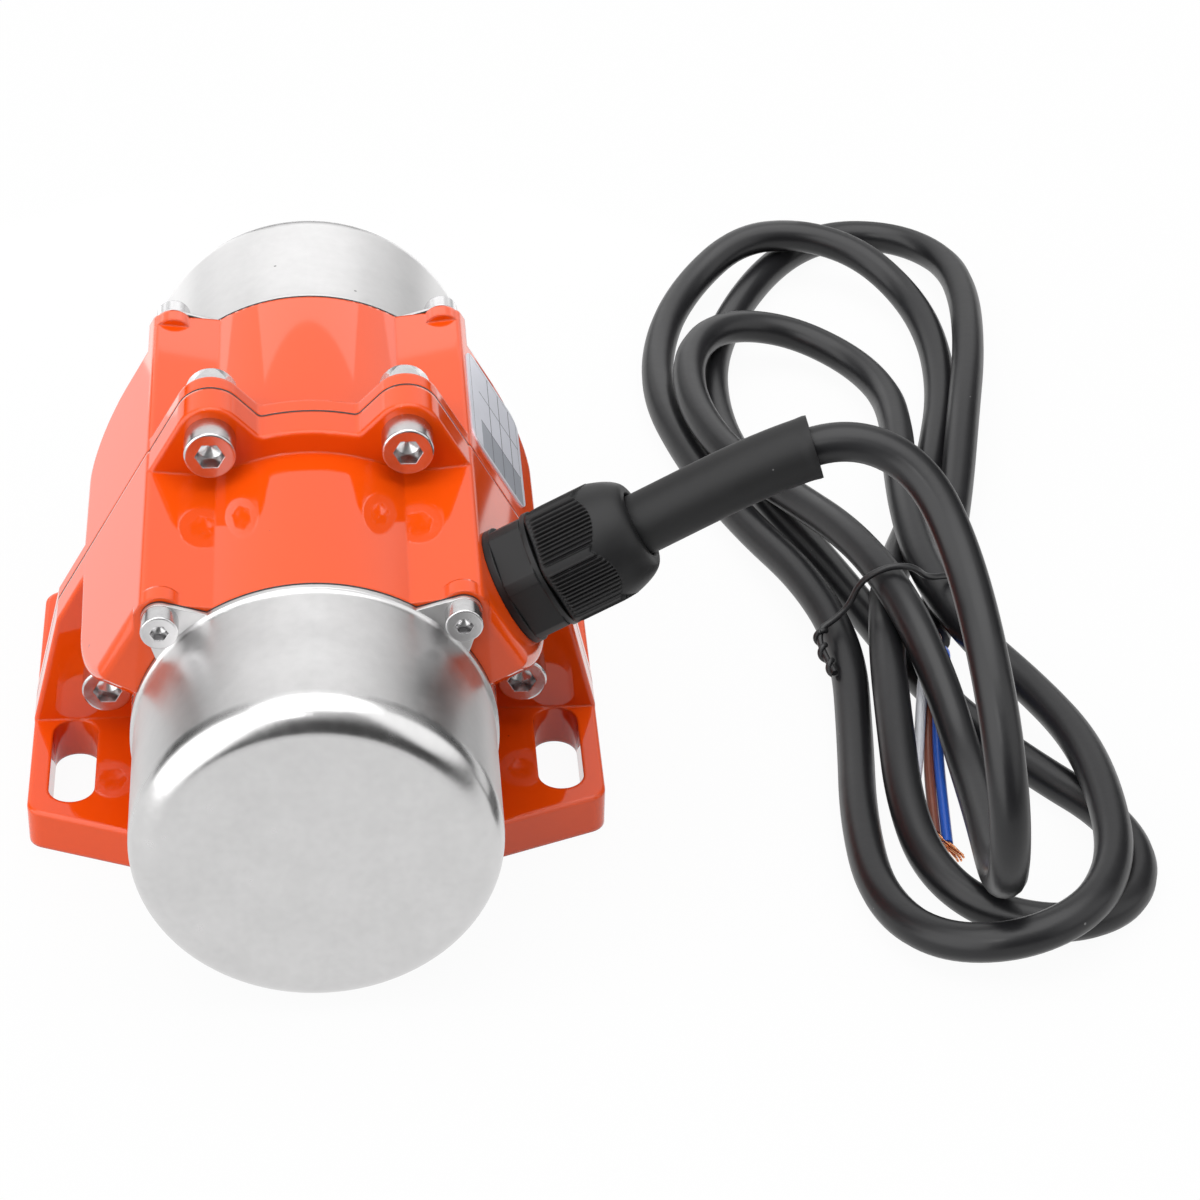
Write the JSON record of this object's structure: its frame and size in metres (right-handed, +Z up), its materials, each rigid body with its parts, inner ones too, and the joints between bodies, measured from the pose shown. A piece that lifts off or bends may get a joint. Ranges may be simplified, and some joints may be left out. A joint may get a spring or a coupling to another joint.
{
  "type": "vibration motor",
  "caption": "Small external vibration motor with a split cast housing on slotted feet, deep round end caps, clamped eccentric weights inside and a side gland with a free cable.",
  "frame": {"origin": "on the foot plane, below the middle of the motor without its cable and gland", "axes": "+X to the side with the cable gland, +Y along the shaft from the front cap to the rear cap, +Z up"},
  "size_m": [0.22, 0.2914, 0.0917],
  "materials": {
    "housing_paint": "gloss orange powder coat on cast aluminium",
    "cap_steel": "satin stainless sheet",
    "screw_steel": "plain stainless",
    "bolt_steel": "polished stainless",
    "gasket": "black rubber",
    "lamination": "dull electrical sheet",
    "winding": "varnished copper winding",
    "bearing_steel": "ground bearing steel",
    "cage_brass": "pressed ball cage",
    "spring_steel": "dark spring steel",
    "gland_plastic": "black moulded polyamide",
    "sleeve_plastic": "black shrunk sleeve",
    "cable_jacket": "satin black jacket",
    "core_white": "white core insulation",
    "core_brown": "brown core insulation",
    "core_blue": "blue core insulation",
    "core_copper": "bare copper strands",
    "tie_wire": "plastic-coated wire",
    "plate_metal": "bare silver plate",
    "shaft_steel": "turned and ground steel",
    "cage_aluminium": "cast aluminium",
    "weight_steel": "plain steel, lightly oiled"
  },
  "bodies": {
    "motor_body": {"housing_front": "housing_paint", "housing_rear": "housing_paint", "housing_gasket": "gasket", "cap_front": "cap_steel", "cap_rear": "cap_steel", "cap_gasket_front": "gasket", "cap_gasket_rear": "gasket", "cap_screws_front": "screw_steel", "cap_screws_rear": "screw_steel", "flange_bolts_top": "bolt_steel", "flange_bolts_low": "bolt_steel", "lock_nuts": "bolt_steel", "stator_core": "lamination", "stator_windings": "winding", "bearing_outer_front": "bearing_steel", "bearing_outer_rear": "bearing_steel", "wave_washer": "spring_steel", "gland_washer": "gland_plastic", "gland_body": "gland_plastic", "gland_nut": "gland_plastic", "gland_seal": "gasket", "cable_sleeve": "sleeve_plastic", "power_cable": "cable_jacket", "core_white": "core_white", "core_brown": "core_brown", "core_blue": "core_blue", "core_tips": "core_copper", "cable_tie": "tie_wire", "rating_plate": "plate_metal"},
    "rotor": {"rotor_shaft": "shaft_steel", "rotor_core": "lamination", "rotor_cage": "cage_aluminium", "bearing_inner_front": "bearing_steel", "bearing_inner_rear": "bearing_steel", "spacer_sleeves": "shaft_steel", "fixed_weight_front": "weight_steel", "fixed_weight_rear": "weight_steel", "weight_keys": "shaft_steel", "shaft_clips": "spring_steel"},
    "adjustable_front": {"adjustable_weight_front": "weight_steel", "clamp_screw_front": "screw_steel"},
    "adjustable_rear": {"adjustable_weight_rear": "weight_steel", "clamp_screw_rear": "screw_steel"},
    "balls_front": {"bearing_balls_front": "bearing_steel", "bearing_cage_front": "cage_brass"},
    "balls_rear": {"bearing_balls_rear": "bearing_steel", "bearing_cage_rear": "cage_brass"}
  },
  "joints": [
    {"name": "rotor_spin", "type": "hinge", "parent": "motor_body", "child": "rotor", "pos_m": [0, 0, 0.0364], "axis": [0, 1, 0], "continuous": true},
    {"name": "weight_set_front", "type": "hinge", "parent": "rotor", "child": "adjustable_front", "pos_m": [0, -0.07325, 0.0364], "axis": [0, 1, 0], "range_deg": [0, 180]},
    {"name": "weight_set_rear", "type": "hinge", "parent": "rotor", "child": "adjustable_rear", "pos_m": [0, 0.07325, 0.0364], "axis": [0, 1, 0], "range_deg": [0, 180]},
    {"name": "balls_front_run", "type": "hinge", "parent": "motor_body", "child": "balls_front", "pos_m": [0, -0.044, 0.0364], "axis": [0, 1, 0], "continuous": true},
    {"name": "balls_rear_run", "type": "hinge", "parent": "motor_body", "child": "balls_rear", "pos_m": [0, 0.044, 0.0364], "axis": [0, 1, 0], "continuous": true}
  ],
  "couplings": [
    {"joint": "balls_front_run", "follows": "rotor_spin", "ratio": 0.386},
    {"joint": "balls_rear_run", "follows": "rotor_spin", "ratio": 0.386}
  ]
}
